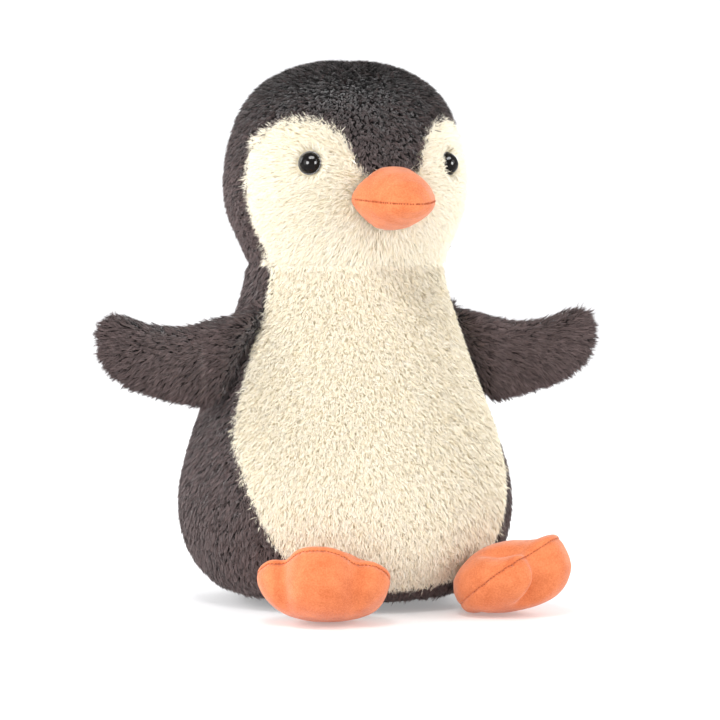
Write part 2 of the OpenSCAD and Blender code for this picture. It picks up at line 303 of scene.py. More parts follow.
def soft_form(name, points, faces, panels, voxel, inset, pressure, cap, groove, groove_w, conform=0):
    """The sewn skin of one stuffed part: remeshed, swollen between its seams, and pulled in along them.
    Gives the object, the panel of each face, and points along the seams."""
    obj = make_object(name, points, faces)
    remesh = obj.modifiers.new("remesh", "REMESH")
    remesh.mode = "VOXEL"
    remesh.voxel_size = voxel
    obj = largest_island(baked(obj))
    if conform:
        obj = conformed(obj, panels, conform)
    else:
        obj = relaxed(obj, 6)
    co = arrays(obj.data)[0] - vertex_normals(obj.data) * inset
    set_points(obj.data, co)
    if inset > 0:
        obj = relaxed(obj, 2)
    owner = panels.of(face_centres(obj.data))
    pins = list(border_vertices(obj.data, owner))
    obj = puffed(obj, pins, pressure, cap)
    sub = obj.modifiers.new("sub", "SUBSURF")
    sub.levels = 1
    obj = baked(obj)
    owner = panels.of(face_centres(obj.data))
    co = arrays(obj.data)[0]
    seam_points = []
    for v, (own, other, *_) in border_vertices(obj.data, owner).items():
        place = Vector(co[v])
        to_own = panels.trees[own].find_nearest(place)
        to_other = panels.trees[other].find_nearest(place)
        shift = to_other[0] - to_own[0]
        if to_own[3] > to_other[3]:
            shift = -shift
        if abs(place.z - CREASE_Z) < NECK_GAP:
            shift = Vector((0, 0, CREASE_Z - place.z)) if is_neck_seam(panels, own, other) else shift
        if shift.length < 1.5 * voxel:
            co[v] = place + shift
        seam_points.append(co[v].copy())
    set_points(obj.data, co)
    groove_along(obj, seam_points, groove, groove_w)
    return obj, owner, np.array(seam_points)


def panel_objects(obj, owner, panels, prefix, thickness):
    """Cut the sewn skin into one object per panel, with fabric thickness."""
    mesh = obj.data
    co = arrays(mesh)[0]
    normal = vertex_normals(mesh)
    made = {}
    polys = [list(p.vertices) for p in mesh.polygons]
    for k, name in enumerate(panels.names):
        faces = [polys[i] for i in np.nonzero(owner == k)[0]]
        if not faces:
            continue
        used = sorted({v for f in faces for v in f})
        index = {v: i for i, v in enumerate(used)}
        n = len(used)
        outer = [[index[v] for v in f] for f in faces]
        inner = [[index[v] + n for v in reversed(f)] for f in faces]
        count = {}
        for f in outer:
            for a, b in zip(f, f[1:] + f[:1]):
                count[(a, b)] = 1
        rim = [(b, a, a + n, b + n) for a, b in count if (b, a) not in count]
        points = np.concatenate([co[used], co[used] - normal[used] * thickness])
        made[name] = make_object(prefix + name, points, outer + inner + rim)
    return made


# ---------------------------------------------------------------- materials
def principled(name):
    """A new material with its node tree and its shader."""
    material = bpy.data.materials.new(name)
    material.use_nodes = True
    tree = material.node_tree
    shader = tree.nodes["Principled BSDF"]
    return material, tree, shader


def pile_shades(name, dark, light, count, sheen):
    """Several fibre colours from dark to light, one plain material each."""
    made = []
    for i in range(count):
        t = i / (count - 1)
        material, _, shader = principled(f"{name}_{i}")
        colour = [a + (b - a) * t for a, b in zip(dark, light)]
        shader.inputs["Base Color"].default_value = (*colour, 1)
        shader.inputs["Roughness"].default_value = 0.85
        shader.inputs["Specular IOR Level"].default_value = 0.15
        shader.inputs["Sheen Weight"].default_value = sheen
        shader.inputs["Sheen Roughness"].default_value = 0.45
        made.append(material)
    return made


def fabric(name, low, high, scale, bump_scale, bump, rough=(0.8, 0.95), sheen=0.3):
    """Woven or napped cloth: blotches in the colour, fine fibre bump, uneven roughness."""
    material, tree, shader = principled(name)
    nodes, links = tree.nodes, tree.links
    coords = nodes.new("ShaderNodeTexCoord")
    blotch = nodes.new("ShaderNodeTexNoise")
    blotch.inputs["Scale"].default_value = scale
    blotch.inputs["Detail"].default_value = 6
    links.new(coords.outputs["Object"], blotch.inputs["Vector"])
    ramp = nodes.new("ShaderNodeValToRGB")
    ramp.color_ramp.elements[0].position = 0.35
    ramp.color_ramp.elements[0].color = (*low, 1)
    ramp.color_ramp.elements[1].position = 0.68
    ramp.color_ramp.elements[1].color = (*high, 1)
    speck = nodes.new("ShaderNodeTexNoise")
    speck.inputs["Scale"].default_value = bump_scale * 0.8
    speck.inputs["Detail"].default_value = 3
    links.new(coords.outputs["Object"], speck.inputs["Vector"])
    both = nodes.new("ShaderNodeMath")
    both.operation = "ADD"
    links.new(blotch.outputs["Fac"], both.inputs[0])
    links.new(speck.outputs["Fac"], both.inputs[1])
    half = nodes.new("ShaderNodeMath")
    half.operation = "MULTIPLY"
    half.inputs[1].default_value = 0.5
    links.new(both.outputs["Value"], half.inputs[0])
    links.new(half.outputs["Value"], ramp.inputs["Fac"])
    links.new(ramp.outputs["Color"], shader.inputs["Base Color"])
    spread = nodes.new("ShaderNodeMapRange")
    spread.inputs["To Min"].default_value = rough[0]
    spread.inputs["To Max"].default_value = rough[1]
    links.new(blotch.outputs["Fac"], spread.inputs["Value"])
    links.new(spread.outputs["Result"], shader.inputs["Roughness"])
    grain = nodes.new("ShaderNodeTexNoise")
    grain.inputs["Scale"].default_value = bump_scale
    grain.inputs["Detail"].default_value = 4
    grain.inputs["Roughness"].default_value = 0.7
    links.new(coords.outputs["Object"], grain.inputs["Vector"])
    relief = nodes.new("ShaderNodeBump")
    relief.inputs["Strength"].default_value = bump
    relief.inputs["Distance"].default_value = 0.3 * MM
    links.new(grain.outputs["Fac"], relief.inputs["Height"])
    links.new(relief.outputs["Normal"], shader.inputs["Normal"])
    shader.inputs["Sheen Weight"].default_value = sheen
    shader.inputs["Sheen Roughness"].default_value = 0.4
    shader.inputs["Specular IOR Level"].default_value = 0.2
    return material


def plastic(name, low, high, rough, coat, shine=0.5):
    """Moulded plastic with faint unevenness in its colour and polish."""
    material = fabric(name, low, high, 260, 900, 0.03, rough, 0.0)
    shader = material.node_tree.nodes["Principled BSDF"]
    shader.inputs["Specular IOR Level"].default_value = shine
    shader.inputs["Coat Weight"].default_value = coat
    shader.inputs["Coat Roughness"].default_value = 0.03
    return material


SHADES = 8
CHARCOAL_SHADES = pile_shades("charcoal_pile", (0.008, 0.0045, 0.004), (0.180, 0.132, 0.128), SHADES, 0.4)
CREAM_SHADES = pile_shades("cream_pile", (0.97, 0.87, 0.65), (0.99, 0.945, 0.84), SHADES, 0.5)
# a look: shades, how far the tufts of a clump are drawn together, how much darker the roots are drawn (a
# painted shade deep in the pile, with the tips drawn lighter)
CHARCOAL = (CHARCOAL_SHADES, 0.72, 2.1)
CREAM = (CREAM_SHADES, 0.28, 0.8)
# painted shade: the backing cloths are coloured darker than their pile, standing for the shade deep under the
# tufts; the charcoal one is nearly black
CHARCOAL_SHADED_CLOTH = fabric("charcoal_backing_painted_shade", (0.010, 0.008, 0.008), (0.022, 0.018, 0.018), 120, 2500, 0.6)
CREAM_SHADED_CLOTH = fabric("cream_backing_painted_shade", (0.95, 0.85, 0.63), (0.98, 0.90, 0.72), 120, 2500, 0.6)
SUEDE = fabric("orange_suede", (0.60, 0.150, 0.050), (0.80, 0.260, 0.105), 170, 1900, 0.8,
               (0.75, 0.92), 0.3)
ORANGE_THREAD = fabric("orange_thread", (0.34, 0.065, 0.018), (0.50, 0.11, 0.035), 900, 4000, 0.6)
DARK_THREAD = fabric("charcoal_thread", (0.01, 0.009, 0.009), (0.03, 0.026, 0.026), 900, 4000, 0.6)
FIBRE = fabric("fibre_fill", (0.72, 0.72, 0.70), (0.88, 0.88, 0.86), 90, 1400, 0.9)
POUCH = fabric("pouch_cloth", (0.55, 0.54, 0.50), (0.70, 0.69, 0.65), 400, 1800, 0.6)
PELLETS = plastic("pellets", (0.60, 0.60, 0.58), (0.75, 0.75, 0.73), (0.35, 0.5), 0.0)
EYE_BLACK = plastic("eye_plastic", (0.004, 0.003, 0.003), (0.008, 0.006, 0.006), (0.06, 0.12), 0.0, 0.12)
EYE_RIM = plastic("eye_rim", (0.012, 0.010, 0.009), (0.03, 0.024, 0.022), (0.3, 0.5), 0.0)
WASHER = plastic("washer_plastic", (0.62, 0.62, 0.60), (0.76, 0.76, 0.74), (0.3, 0.45), 0.0)


# ---------------------------------------------------------------- pile
def sampled(obj, density, seed):
    """Points spread evenly by area over the skin, with their normals."""
    rng = np.random.default_rng(seed)
    co, tri = arrays(obj.data)
    normal = vertex_normals(obj.data)
    a, b, c = co[tri[:, 0]], co[tri[:, 1]], co[tri[:, 2]]
    area = np.linalg.norm(np.cross(b - a, c - a), axis=1) / 2
    count = int(area.sum() * density)
    pick = rng.choice(len(tri), count, p=area / area.sum())
    u = rng.random((count, 2))
    flip = u.sum(axis=1) > 1
    u[flip] = 1 - u[flip]
    w = np.stack([1 - u.sum(axis=1), u[:, 0], u[:, 1]], axis=1)
    points = (co[tri[pick]] * w[:, :, None]).sum(axis=1)
    normals = unit((normal[tri[pick]] * w[:, :, None]).sum(axis=1))
    return points, normals, rng


def tangent(direction, normals):
    """direction laid flat on the surface."""
    flat = direction - normals * (direction * normals).sum(axis=1, keepdims=True)
    return unit(flat)


def pile_object(name, points, normals, comb, length, width, lift, look, rng, clump,
                swirl, floor=None, part_from=(), painted_shade=0.0):
    """Tufts as short bent kite-shaped blades, drawn together in clumps of about so many.
    lift is how upright they stand, swirl how much they stray from comb, part_from are
    (centre, reach) places that they lean away from, and the last argument moves each tuft's shade,
    a painted shade that darkens the crown where the tufts point up."""
    shades, gather, depth = look
    n = len(points)
    size = length * rng.uniform(0.7, 1.2, n)[:, None]
    along = tangent(comb + rng.normal(0, swirl, (n, 3)), normals)
    for centre, reach in part_from:
        away = points - centre
        far = np.linalg.norm(away, axis=1)[:, None]
        share = np.clip(1.6 - far / reach, 0, 1)
        along = tangent(along * (1 - share) + away / far * share, normals)
    middle = points + (normals * (0.35 + 0.6 * lift) + along * (0.55 - 0.35 * lift)) * size * 0.5
    tip = middle + (normals * lift * 0.65 + along * (1.05 - 0.45 * lift)) * size * 0.6
    centres = rng.choice(n, max(1, n // clump), replace=False)
    tree = KDTree(len(centres))
    for i, k in enumerate(centres.tolist()):
        tree.insert(points[k], i)
    tree.balance()
    home = centres[np.array([tree.find(p)[1] for p in points.tolist()])]
    pull = rng.uniform(gather - 0.3, gather + 0.25, n)[:, None]
    tip = tip + (tip[home] - tip) * pull
    middle = middle + (middle[home] - middle) * pull * 0.4
    side = unit(np.cross(tip - points, normals))
    side = unit(side + normals * rng.uniform(-0.9, 0.9, n)[:, None])
    half = width * rng.uniform(0.7, 1.3, n)[:, None] / 2
    root = points - normals * 0.5 * MM
    verts = np.stack([root, middle - side * half, middle + side * half, tip], axis=1).reshape(-1, 3)
    if floor is not None:
        verts[:, 2] = np.maximum(verts[:, 2], floor)
    base = (np.arange(n) * 4)[:, None]
    loops = (base + np.array([[0, 1, 2, 1, 3, 2]])).reshape(-1)
    mesh = bpy.data.meshes.new(name)
    mesh.vertices.add(n * 4)
    mesh.vertices.foreach_set("co", verts.reshape(-1))
    mesh.loops.add(n * 6)
    mesh.loops.foreach_set("vertex_index", loops.astype(np.int32))
    mesh.polygons.add(n * 2)
    mesh.polygons.foreach_set("loop_start", (np.arange(n * 2) * 3).astype(np.int32))
    top = len(shades) - 1
    # the last term is painted shade, darker on the crown where the tufts point up
    shade = rng.normal(0, 0.8, n)[home] + rng.normal(0, 1.0, n) + top / 2 + painted_shade
    # painted shade deep in the pile: each tuft's root half takes a darker shade, its tip half a lighter one
    pair = np.stack([shade - depth, shade + depth * 0.6], axis=1)
    mesh.polygons.foreach_set("material_index", np.clip(np.rint(pair), 0, top).astype(np.int32).reshape(-1))
    mesh.update(calc_edges=True)
    mesh.shade_smooth()
    for material in shades:
        mesh.materials.append(material)
    obj = bpy.data.objects.new(name, mesh)
    bpy.context.scene.collection.objects.link(obj)
    return obj


# ---------------------------------------------------------------- small sewn details
def thread_bits(name, centres, directions, normals, length, radius, material):
    """Short stitches: each a thin thread that rises out of the fabric and dives back into it."""
    rings, sides = 7, 8
    verts, faces = [], []
    for centre, direction, normal in zip(centres, directions, normals):
        across = np.cross(direction, normal)
        start = len(verts)
        for i in range(rings):
            t = i / (rings - 1)
            bow = math.sin(math.pi * t)
            middle = centre + direction * (t - 0.5) * length + normal * (bow * 1.1 - 0.55) * radius
            r = radius * (0.35 + 0.65 * bow ** 0.5)
            for k in range(sides):
                a = 2 * math.pi * k / sides
                verts.append(middle + (across * math.cos(a) + normal * math.sin(a)) * r)
        for i in range(rings - 1):
            for k in range(sides):
                q = (k + 1) % sides
                faces.append((start + i * sides + k, start + i * sides + q,
                              start + (i + 1) * sides + q, start + (i + 1) * sides + k))
        faces.append([start + k for k in range(sides - 1, -1, -1)])
        faces.append([start + (rings - 1) * sides + k for k in range(sides)])
    obj = make_object(name, verts, faces)
    obj.data.materials.append(material)
    return obj


def run_along(path, pitch, closed):
    """Evenly spaced places and directions on a path of points."""
    line = np.vstack([path, path[:1]]) if closed else path
    steps = np.linalg.norm(np.diff(line, axis=0), axis=1)
    run = np.concatenate([[0], np.cumsum(steps)])
    count = max(2, int(run[-1] / pitch))
    at = (np.arange(count) + 0.5) * run[-1] / count
    places = np.stack([np.interp(at, run, line[:, k]) for k in range(3)], axis=1)
    ahead = np.stack([np.interp(at + pitch * 0.3, run, line[:, k]) for k in range(3)], axis=1)
    return places, unit(ahead - places + 1e-9)


def by_angle(points, centre, u, v, bins):
    """Seam points put in order round a centre, one mean point per bin of angle."""
    flat = points - centre
    angle = np.arctan2(flat @ v, flat @ u)
    which = np.floor((angle + math.pi) / (2 * math.pi) * bins).astype(int)
    return np.array([points[which == k].mean(axis=0) for k in range(bins) if (which == k).any()])


def tree_of(obj):
    """Search tree of a skin."""
    co, tri = arrays(obj.data)
    return BVHTree.FromPolygons([tuple(c) for c in co], [tuple(t) for t in tri])


def on_skin(points, tree):
    """Nearest places on a skin, and its normals there."""
    found = [tree.find_nearest(p) for p in points.tolist()]
    return np.array([f[0] for f in found]), np.array([f[1] for f in found])


def is_inside(points, tree, margin):
    """Whether each point lies deeper than margin under a closed skin, by counting the walls above it."""
    out = np.zeros(len(points), dtype=bool)
    up = Vector((0.013, 0.007, 1)).normalized()
    for i, p in enumerate(points.tolist()):
        walls, start = 0, Vector(p)
        while walls < 9:
            hit = tree.ray_cast(start, up)[0]
            if hit is None:
                break
            walls += 1
            start = hit + up * 0.02 * MM
        out[i] = walls % 2 == 1 and tree.find_nearest(p)[3] > margin
    return out


def wadding(node, body, inset, size, island=True, blend=None, shape=None):
    """A filling: a lumpy wad a little smaller than the space its CAD solid fills."""
    points, faces = joined_nodes([node])
    obj = make_object(node + "_wad", points, faces)
    remesh = obj.modifiers.new("remesh", "REMESH")
    remesh.mode = "VOXEL"
    remesh.voxel_size = size
    obj = baked(obj)
    if island:
        obj = largest_island(obj)
    obj = relaxed(obj, 3)
    co = arrays(obj.data)[0]
    normal = vertex_normals(obj.data)
    lump = np.sin(co[:, 0] / (3 * MM)) * np.sin(co[:, 1] / (3.4 * MM) + 1) * np.sin(co[:, 2] / (2.7 * MM) + 2)
    co = co - normal * (inset + 0.5 * MM * lump)[:, None]
    set_points(obj.data, co if shape is None else shape(co))
    obj.data.shade_smooth()
    obj.data.materials.append(FIBRE)
    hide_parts(node)
    if blend is None:
        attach(obj, body)
    else:
        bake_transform(obj)
    return obj


# ---------------------------------------------------------------- head and body skin
PROFILE_STEP = 2 * MM
NECK_EVEN = 20 * MM  # the profile has even steps this far above and below the crease
NECK_SOFT = 14 * MM  # and is rounded this far


def cad_profile():
    """Half outline of the head and body, measured on the CAD's back, as (radius, height) pairs,
    with a rounded waist at the neck crease."""
    tree = Panels(TRUNK).tree
    out = []
    middle = np.arange(PROFILE_STEP, 223 * MM, PROFILE_STEP)
    for z in np.concatenate([[0.8 * MM], middle, [225 * MM, 226.6 * MM]]):
        if abs(z - NECK_Z) < NECK_GAP:
            continue
        hit = tree.ray_cast(Vector((0.9 * MM, 0.2, z)), Vector((0, -1, 0)))
        if hit[0] is not None and hit[0].y > 0:
            out.append((hit[0].y, z))
    out.append((NECK_R, CREASE_Z))
    out = np.array(sorted(out, key=lambda p: p[1]))
    heights = np.concatenate([out[out[:, 1] < CREASE_Z - NECK_EVEN, 1],
                              np.arange(CREASE_Z - NECK_EVEN, CREASE_Z + NECK_EVEN, PROFILE_STEP),
                              out[out[:, 1] >= CREASE_Z + NECK_EVEN, 1]])
    even = np.stack([np.interp(heights, out[:, 1], out[:, 0]), heights], axis=1)
    near = np.abs(heights - CREASE_Z) < NECK_SOFT
    soft = np.convolve(even[:, 0], [0.25, 0.5, 0.25], "same")
    even[near, 0] = soft[near]
    return even


def revolved(profile, inset, sides=96):
    """Closed surface of revolution, moved in by inset."""
    step = np.gradient(profile, axis=0)
    outward = unit(np.stack([step[:, 1], -step[:, 0]], axis=1))
    line = profile - outward * inset
    line[:, 0] = np.maximum(line[:, 0], 0.5 * MM)
    angle = np.arange(sides) * 2 * math.pi / sides
    ring = np.stack([np.cos(angle), np.sin(angle), np.zeros(sides)], axis=1)
    points = (line[:, None, 0:1] * ring[None] + line[:, None, 1:2] * UP).reshape(-1, 3)
    rows = len(line)
    faces = []
    for j in range(rows - 1):
        for i in range(sides):
            k = (i + 1) % sides
            faces.append((j * sides + i, j * sides + k, (j + 1) * sides + k, (j + 1) * sides + i))
    faces.append(tuple(range(sides - 1, -1, -1)))
    faces.append(tuple((rows - 1) * sides + i for i in range(sides)))
    return points, faces


trunk_panels = TrunkPanels()
profile = cad_profile()
points, faces = revolved(profile, PILE_INSET)
trunk, trunk_owner, _ = soft_form("trunk", points, faces, trunk_panels, 4 * MM, 0.0, 4.0, 1.5 * MM,
                                  1.0 * MM, 2.5 * MM)
trunk_tree = tree_of(trunk)

# ---------------------------------------------------------------- wing skins
SIDES = (("left", 1.0), ("right", -1.0))
WING_ROOT = np.array([60.6 * MM, -9 * MM, 104.5 * MM])
ROOT_FROM = 66 * MM  # the wing's skin is drawn in from here towards the body
ROOT_RUN = 12 * MM
ROOT_SINK = 9 * MM
ROOT_FLARE = 9 * MM
wings = {}


def rooted(points, sx):
    """The root of a wing's skin drawn into the body, its front face flared forwards."""
    out = points.copy()
    deep = np.clip((ROOT_FROM - sx * out[:, 0]) / ROOT_RUN, 0, 1)
    out[:, 0] -= sx * deep * ROOT_SINK
    out[:, 1] -= deep * np.clip((WING_ROOT[1] - out[:, 1]) / (4 * MM), 0, 1) * ROOT_FLARE
    return out


for side, sx in SIDES:
    panels = Panels([f"wing_{side}_front", f"wing_{side}_back"])
    points, faces = joined_nodes(panels.names + [f"wing_{side}_fill"])
    wing, owner, _ = soft_form(f"wing_{side}", points, faces, panels, 2.5 * MM, WING_INSET, 4.0, 1.2 * MM,
                               0.6 * MM, 2 * MM, conform=2)
    set_points(wing.data, rooted(arrays(wing.data)[0], sx))
    wings[side] = (wing, owner, panels, tree_of(wing))

TAPER_FROM = 76 * MM
TAPER_RUN = 16 * MM
TAPER = 0.35


def tapered(points, sx):
    """A wing's filling drawn together towards the root, where the skin narrows."""
    out = points.copy()
    near = np.clip((TAPER_FROM - sx * points[:, 0]) / TAPER_RUN, 0, 1)[:, None]
    out[:, 1:] = WING_ROOT[1:] + (points[:, 1:] - WING_ROOT[1:]) * (1 - TAPER * near)
    return out


# ---------------------------------------------------------------- feet
FOOT_HINGE = np.array([33.37 * MM, -65.49 * MM, 8.4 * MM])
FOOT_TILT = math.radians(36)
FOOT_TURN = {1.0: math.radians(48), -1.0: math.radians(30)}
FOOT_REACH = 40 * MM
FOOT_HALF_W = 27 * MM  # the faces bulge over this much on each side of the middle
TOES_FROM = FOOT_REACH - 32 * MM
TOES_RUN = 24 * MM
TOE_DIP_AT = 14.025 * MM
TOE_DIP_W = 3.4 * MM
TOE_DIP = 2.2 * MM
TOE_DROP = 6.0 * MM  # the outer toes end this much before the middle one
TOE_FLAT = 0.45  # the top is this much thinner at the toes
TOE_SWELL = 0.12
TOE_VALLEY = {1.0: 0.40, -1.0: 0.16}  # depth of the valleys between the toes; the left foot is creased more
TOP_BULGE = 5.5 * MM
TOP_BULGE_AT = 8 * MM
TOP_BULGE_RUN = 24 * MM
SOLE_BULGE = 8.5 * MM
SOLE_BULGE_AT = 23 * MM
SOLE_BULGE_RUN = 25 * MM
GROUND = 0.3 * MM
foot_skins = {}


def foot_out(sx):
    """Level direction in which a foot points."""
    return np.array([sx * math.sin(FOOT_TURN[sx]), -math.cos(FOOT_TURN[sx]), 0.0])


def foot_axes(sx):
    """Hinge, and the directions across the foot, from heel to toe, and out of its top."""
    out = foot_out(sx)
    across = np.cross(UP, out)
    toe = out * math.cos(FOOT_TILT) + UP * math.sin(FOOT_TILT)
    return FOOT_HINGE * np.array([sx, 1, 1]), across, toe, np.cross(toe, across)


def toed(points, sx):
    """The foot with its edge drawn in between three toes, a valley there on both faces, a full heel
    on top, and a full sole that stays above the ground. u runs across, v to the toes, w upwards."""
    hinge, across, toe, top = foot_axes(sx)
    local = points - hinge
    u, v, w = local @ across, local @ toe, local @ top
    aside = np.abs(u)
    valley = np.exp(-(((aside - TOE_DIP_AT) / TOE_DIP_W) ** 2))
    t = smooth((v - TOES_FROM) / TOES_RUN)
    drop = TOE_DROP * smooth((aside - 2 * MM) / (17 * MM))
    w = np.where(w > 0, w * (1 - TOE_FLAT * t), w)
    full = np.clip(1 - (u / FOOT_HALF_W) ** 2, 0, 1)
    above = full * np.clip(1 - ((v - TOP_BULGE_AT) / TOP_BULGE_RUN) ** 2, 0, 1)
    above = above * np.clip(w / (6 * MM), 0, 1)
    below = full * np.clip(1 - ((v - SOLE_BULGE_AT) / SOLE_BULGE_RUN) ** 2, 0, 1)
    below = below * np.clip(-w / (5 * MM), 0, 1)
    w = w + TOP_BULGE * above - SOLE_BULGE * below
    w = w * (1 + t * (TOE_SWELL - TOE_VALLEY[sx] * valley))
    v = v - (TOE_DIP * valley + drop) * t
    out = hinge + u[:, None] * across + v[:, None] * toe + w[:, None] * top
    out[:, 2] = np.maximum(out[:, 2], GROUND)
    return out


for side, sx in SIDES:
    panels = Panels([f"foot_{side}_top", f"foot_{side}_sole"])
    points, faces = joined_nodes(panels.names + [f"foot_{side}_fill"])
    foot, owner, seams = soft_form(f"foot_{side}", points, faces, panels, 1.6 * MM, 0.0, 5.0, 0.8 * MM,
                                   0.55 * MM, 0.7 * MM, conform=1)
    set_points(foot.data, toed(arrays(foot.data)[0], sx))
    foot_skins[side] = (foot, owner, panels, toed(seams, sx))

# ---------------------------------------------------------------- beak
BEAK_AT = np.array([0.0, -50 * MM, 169 * MM])
BEAK_BASE_Y = 46 * MM
BEAK_LONG = 28.5 * MM
BEAK_W = 34 * MM
BEAK_DROOP = 2.6 * MM  # the mouth line falls this much from the base to the tip
BEAK_DROOP_H = 8 * MM
BEAK_CORNER = 0.8 * MM  # the corners of the mouth stand out this much
BEAK_CORNER_H = 4 * MM
BEAK_CHEEK = 0.06  # how much wider the beak is half way
BEAK_SLIM = 0.25  # how much lower it is at the sides of its base


def drooped(points):
    """The beak with its mouth line drawn down towards the tip, its corners drawn out, and full sides."""
    out = points.copy()
    forward = np.clip((-points[:, 1] - BEAK_BASE_Y) / BEAK_LONG, 0, 1)
    near = np.exp(-(((points[:, 2] - BEAK_AT[2]) / BEAK_DROOP_H) ** 2))
    out[:, 2] -= BEAK_DROOP * forward * near
    corner = np.exp(-(((points[:, 2] - BEAK_AT[2]) / BEAK_CORNER_H) ** 2)) * (1 - forward)
    corner *= np.clip((np.abs(points[:, 0]) - 7 * MM) / (9 * MM), 0, 1)
    out[:, 0] += np.sign(points[:, 0]) * BEAK_CORNER * corner
    out[:, 0] *= 1 + BEAK_CHEEK * 4 * forward * (1 - forward)
    slim = np.clip((np.abs(points[:, 0]) - 6 * MM) / (10 * MM), 0, 1) * (1 - forward)
    out[:, 2] = BEAK_AT[2] + (out[:, 2] - BEAK_AT[2]) * (1 - BEAK_SLIM * slim)
    return out


beak_panels = Panels(["beak_upper", "beak_lower"])
points, faces = joined_nodes(beak_panels.names + ["beak_fill"])
beak, beak_owner, beak_seams = soft_form("beak", points, faces, beak_panels, 1.2 * MM, 0.0, 5.0, 0.6 * MM,
                                         0.1 * MM, 0.6 * MM, conform=1)
set_points(beak.data, drooped(arrays(beak.data)[0]))
beak_seams = drooped(beak_seams)

# ---------------------------------------------------------------- eyes
EYE_Z = 183.5 * MM
EYE_TURN = math.radians(39)
EYE_TILT = math.atan(8.5 / 51.8)
EYE_R = 4.7 * MM
EYE_BACK = -3.4 * MM
EYE_RISE = 3.9 * MM
DOME_R = 4.35 * MM
RIM_AT = 4.62 * MM
RIM_R = 0.32 * MM
RIM_STEPS = 9
DOME_STEPS = 14
EYE_SIDES = 48
SHANK_R = 1.6 * MM
SHANK_L = 11 * MM
RIBS = 5
RIB = 1.16  # radius of a rib over that of the shank
eye_radius = float(np.interp(EYE_Z, profile[:, 1], profile[:, 0]))


def eye_frame(sx):
    """Centre of the eye on the pile tips, and the direction it looks in."""
    flat = np.array([sx * math.sin(EYE_TURN), -math.cos(EYE_TURN), 0.0])
    return flat * eye_radius + UP * EYE_Z, flat * math.cos(EYE_TILT) + UP * math.sin(EYE_TILT)


def eye_outline():
    """Half outline of an eye as (radius, height) pairs: dome, rounded rim, ribbed shank."""
    base = EYE_BACK + 1.0 * MM
    foot = 0.25 * MM
    outline = []
    for i in range(DOME_STEPS + 1):
        a = math.pi / 2 * i / DOME_STEPS
        outline.append((DOME_R * math.sin(a), base + foot + (EYE_RISE - foot) * math.cos(a)))
    outline.append((DOME_R + 0.02 * MM, base + 0.05 * MM))
    for i in range(RIM_STEPS):
        a = math.pi * (0.85 - 1.25 * i / (RIM_STEPS - 1))
        outline.append((RIM_AT + RIM_R * math.cos(a), base + (RIM_R + 0.02 * MM) * math.sin(a)))
    outline.append((EYE_R, EYE_BACK + 0.1 * MM))
    outline.append((SHANK_R * 1.5, EYE_BACK))
    for i in range(RIBS):
        top = EYE_BACK - SHANK_L * (i + 0.4) / RIBS
        outline.append((SHANK_R, top))
        outline.append((SHANK_R * RIB, top - 0.3 * MM))
        outline.append((SHANK_R * RIB, top - 0.6 * MM))
        outline.append((SHANK_R, top - 0.9 * MM))
    outline.append((0.3 * MM, EYE_BACK - SHANK_L))
    return outline


def eye(side, sx):
    """A safety eye, turned round its axis from its outline."""
    centre, axis = eye_frame(sx)
    outline = eye_outline()
    sides = EYE_SIDES
    across = unit(np.cross(UP, axis))
    up = np.cross(axis, across)
    verts, faces = [], []
    for r, h in outline:
        for k in range(sides):
            a = 2 * math.pi * k / sides
            verts.append(centre + axis * h + (across * math.cos(a) + up * math.sin(a)) * max(r, 0.02 * MM))
    rows = len(outline)
    for i in range(rows - 1):
        for k in range(sides):
            q = (k + 1) % sides
            faces.append((i * sides + q, i * sides + k, (i + 1) * sides + k, (i + 1) * sides + q))
    faces.append(list(range(sides)))
    faces.append([(rows - 1) * sides + k for k in range(sides - 1, -1, -1)])
    obj = make_object(f"eye_{side}_moulded", verts, faces)
    obj.data.materials.append(EYE_BLACK)
    obj.data.materials.append(EYE_RIM)
    rim = np.zeros(len(obj.data.polygons), dtype=np.int32)
    rim_from = (DOME_STEPS + 1) * sides
    rim[rim_from:rim_from + (RIM_STEPS + 1) * sides] = 1
    obj.data.polygons.foreach_set("material_index", rim)
    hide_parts(f"eye_{side}")
    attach(obj, "head")
    return obj


eyes = {side: eye(side, sx) for side, sx in SIDES}

# ---------------------------------------------------------------- pile on the head and body
CHEEK_AT = np.array([0.0, -54 * MM, 165 * MM])


def trunk_comb(points, panel):
    """Which way the pile lies on each panel of the head and body."""
    out = np.tile(-UP, (len(points), 1))
    radial = points.copy()
    radial[:, 2] = 0
    radial = unit(radial)
    if panel in HOOD:
        out = -0.75 * UP + 0.55 * radial + np.array([0, 0.25, 0])
    elif panel == "face_panel":
        out = unit(points - CHEEK_AT) + np.array([0, 0, -0.5])
    elif panel == "base_panel":
        out = radial
    return out


DARK_PILE = (CHARCOAL, CHARCOAL_SHADED_CLOTH, "charcoal_pile")
CREAM_PILE = (CREAM, CREAM_SHADED_CLOTH, "cream_pile")
# look, backing, slot, then the tufts' length and width in mm, lift, and swirl
TRUNK_LOOK = {
    "hood_left": (*DARK_PILE, 4.4, 0.38, 0.70, 0.50),
    "hood_right": (*DARK_PILE, 4.4, 0.38, 0.70, 0.50),
    "face_panel": (*CREAM_PILE, 5.0, 0.38, 0.58, 0.45),
    "tummy_panel": (*CREAM_PILE, 4.4, 0.38, 0.62, 0.50),
    "back_left": (*DARK_PILE, 5.0, 0.38, 0.55, 0.40),
    "back_right": (*DARK_PILE, 5.0, 0.38, 0.55, 0.40),
    "base_panel": (*DARK_PILE, 3.0, 0.40, 0.30, 0.50),
}
PILE_TIP = 4.5 * MM  # height of the tips over the skin
EYE_PARTING = 1.2 * MM  # tufts this far past an eye's rim still lean away from it
WING_NEAR = (30 * MM, 40 * MM)  # the wing's root lies within this of its middle, sideways and in height
NECK_JITTER = 1.0 * MM
NECK_BAND = 7 * MM  # the fringe over the crease: tufts here are longer and stand less
FRINGE_LONGER = 0.1
FRINGE_LIFT = 0.5
